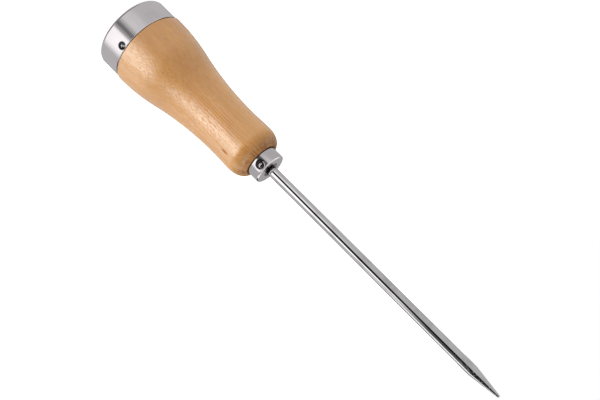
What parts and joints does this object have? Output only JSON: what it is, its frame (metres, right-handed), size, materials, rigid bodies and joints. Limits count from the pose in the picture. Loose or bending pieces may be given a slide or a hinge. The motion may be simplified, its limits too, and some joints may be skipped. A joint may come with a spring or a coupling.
{
  "type": "ice pick",
  "caption": "Hand ice pick: a straight round steel rod with a ground conical point in a turned, waisted wooden handle with a flat steel butt cap and a steel ferrule.",
  "frame": {"origin": "centre of the butt cap's flat end, on the surface that the pick stands on", "axes": "+Z along the axis of the handle and the rod, from the butt to the tip; -Y faces the viewer of the picture"},
  "size_m": [0.0374, 0.0374, 0.2274],
  "materials": {
    "varnished_wood": "gloss clear varnish over pale turned hardwood",
    "plated_steel": "polished bright plating on drawn sheet steel",
    "polished_rod": "polished bright drawn rod, point ground round",
    "brad_steel": "bright wire brad, slightly dulled"
  },
  "bodies": {
    "root": {"handle": "varnished_wood", "butt_cap": "plated_steel", "ferrule": "plated_steel", "pick": "polished_rod", "cap_brad": "brad_steel", "ferrule_brad": "brad_steel"}
  },
  "joints": []
}
